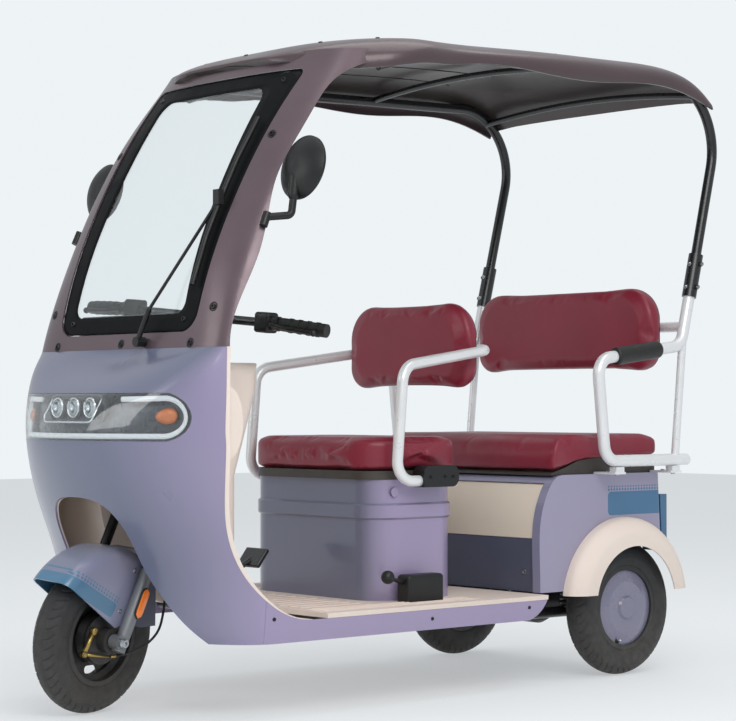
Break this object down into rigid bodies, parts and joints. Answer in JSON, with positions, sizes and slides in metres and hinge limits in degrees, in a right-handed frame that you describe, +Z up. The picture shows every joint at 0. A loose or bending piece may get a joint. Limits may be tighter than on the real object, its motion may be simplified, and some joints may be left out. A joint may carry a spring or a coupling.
{
  "type": "electric passenger tricycle",
  "caption": "Electric leisure tricycle with a windshield and canopy, a sprung steered front wheel, a driver's seat over a box and a rear bench over a storage tub.",
  "frame": {"origin": "on the ground, under the middle of the vehicle's overall box", "axes": "+X forward to the front wheel, +Y to the driver's left, +Z up"},
  "size_m": [1.9962, 0.978, 1.6833],
  "materials": {
    "body_paint": "pearl grey-violet",
    "canopy_paint": "satin mauve-brown",
    "cream_plastic": "moulded cream",
    "dark_panel": "dark moulded",
    "black_plastic": "moulded black",
    "black_frame": "powder-coated black",
    "silver_tube": "satin silver paint",
    "dark_casting": "painted casting",
    "cap_silver": "silver moulded",
    "seat_vinyl": "burgundy vinyl over foam",
    "soft_black": "soft black",
    "tyre": "rubber",
    "screen": "clear",
    "lamp_clear": "clear",
    "lamp_chrome": "dark reflector",
    "lamp_red": "red lens"
  },
  "bodies": {
    "chassis": {"chassis_frame": "black_frame", "rear_axle": "dark_casting", "rear_suspension": "black_frame", "floor_board": "cream_plastic", "side_skirts": "body_paint", "front_shell": "body_paint", "arch_liner": "cream_plastic", "leg_shield": "cream_plastic", "dash_cowl": "black_plastic", "headlamp_unit": "lamp_chrome", "headlamp_cover": "lamp_clear", "windshield_frame": "canopy_paint", "windshield": "screen", "wiper": "black_plastic", "mirror_left": "black_plastic", "mirror_right": "black_plastic", "brake_pedal": "black_frame", "hand_brake": "black_plastic", "driver_seat_box": "body_paint", "battery_pack": "black_plastic", "arm_brackets": "black_plastic", "driver_arm_frame": "silver_tube", "driver_backrest": "seat_vinyl", "rear_body": "body_paint", "under_seat_panel": "cream_plastic", "lower_panel": "dark_panel", "rear_fenders": "cream_plastic", "tail_lamps": "lamp_red", "side_frame_left": "silver_tube", "side_frame_right": "silver_tube", "frame_brackets": "silver_tube", "arm_pads": "soft_black", "backrest_bar": "silver_tube", "rear_backrest": "seat_vinyl", "canopy_sleeves": "black_frame", "canopy_frame": "black_frame", "roof_bars": "black_frame", "roof": "canopy_paint"},
    "steering": {"fork": "dark_casting", "front_fender": "body_paint", "rear_guard": "dark_panel", "brake_plate": "dark_casting", "handlebar": "black_frame", "grips": "soft_black", "bar_controls": "black_plastic"},
    "front_wheel": {"front_tyre": "tyre", "front_rim": "dark_casting"},
    "rear_wheel_left": {"rear_tyre_left": "tyre", "rear_rim_left": "dark_casting", "hub_cap_left": "cap_silver"},
    "rear_wheel_right": {"rear_tyre_right": "tyre", "rear_rim_right": "dark_casting", "hub_cap_right": "cap_silver"},
    "driver_seat": {"driver_seat_base": "black_plastic", "driver_cushion": "seat_vinyl"},
    "bench_seat": {"bench_base": "black_plastic", "bench_cushion": "seat_vinyl"}
  },
  "joints": [
    {"name": "steer", "type": "hinge", "parent": "chassis", "child": "steering", "pos_m": [0.77, 0, 0.1825], "axis": [-0.4115, 0, 0.9114], "range_deg": [-38.9, 11.1]},
    {"name": "front_wheel_spin", "type": "hinge", "parent": "steering", "child": "front_wheel", "pos_m": [0.81878, 0.01095, 0.18195], "axis": [-0.2189, 0.9707, -0.0989], "continuous": true},
    {"name": "rear_left_spin", "type": "hinge", "parent": "chassis", "child": "rear_wheel_left", "pos_m": [-0.685, 0.321, 0.1825], "axis": [0, 1, 0], "continuous": true},
    {"name": "rear_right_spin", "type": "hinge", "parent": "chassis", "child": "rear_wheel_right", "pos_m": [-0.685, -0.321, 0.1825], "axis": [0, 1, 0], "continuous": true},
    {"name": "driver_seat_lift", "type": "hinge", "parent": "chassis", "child": "driver_seat", "pos_m": [0.153, 0, 0.548], "axis": [0, 1, 0], "range_deg": [0, 70]},
    {"name": "bench_seat_lift", "type": "hinge", "parent": "chassis", "child": "bench_seat", "pos_m": [-0.395, 0, 0.536], "axis": [0, 1, 0], "range_deg": [0, 75]}
  ]
}
